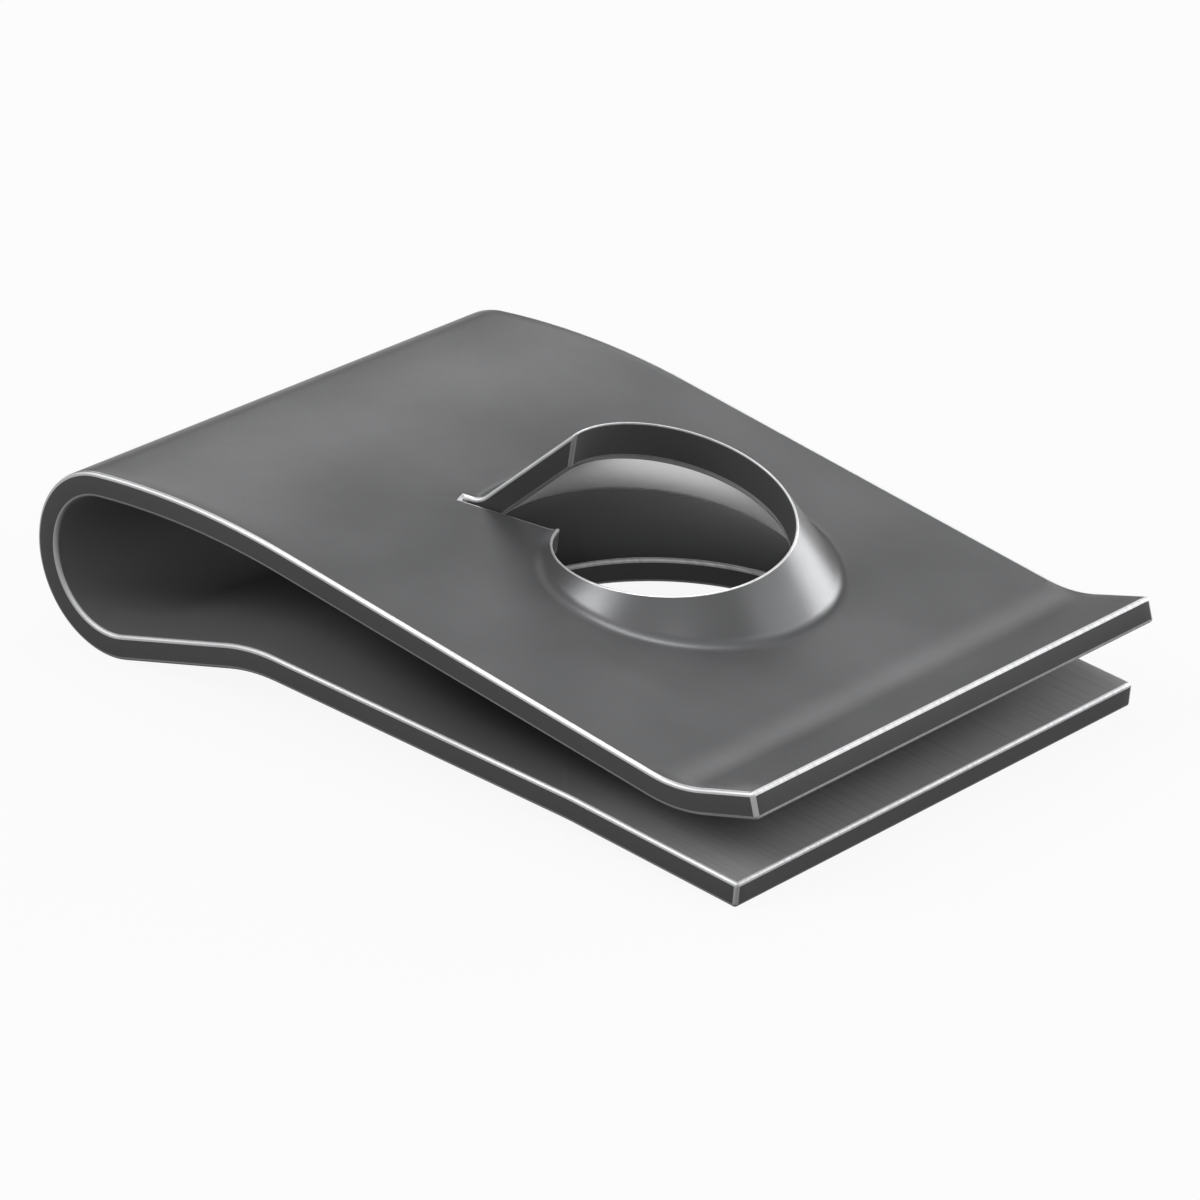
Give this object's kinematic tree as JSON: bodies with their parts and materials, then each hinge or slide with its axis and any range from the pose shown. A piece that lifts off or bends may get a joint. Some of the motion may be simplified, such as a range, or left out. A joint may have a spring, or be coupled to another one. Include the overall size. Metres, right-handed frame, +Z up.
{
  "type": "u clip speed nut",
  "caption": "Folded spring-steel clip that pushes onto a panel edge: helical screw impression in the upper leg, clearance hole in the lower leg, turned-up lead-in lip.",
  "frame": {"origin": "middle of the clip's length and width, on the plane that it rests on", "axes": "+X from the fold to the open end, +Y across the strip, +Z up from the lower leg to the upper leg and its screw impression"},
  "size_m": [0.023, 0.0142, 0.0066],
  "materials": {
    "spring_steel": "dark phosphate and oil over spring steel"
  },
  "bodies": {
    "root": {"u_clip": "spring_steel"}
  },
  "joints": []
}
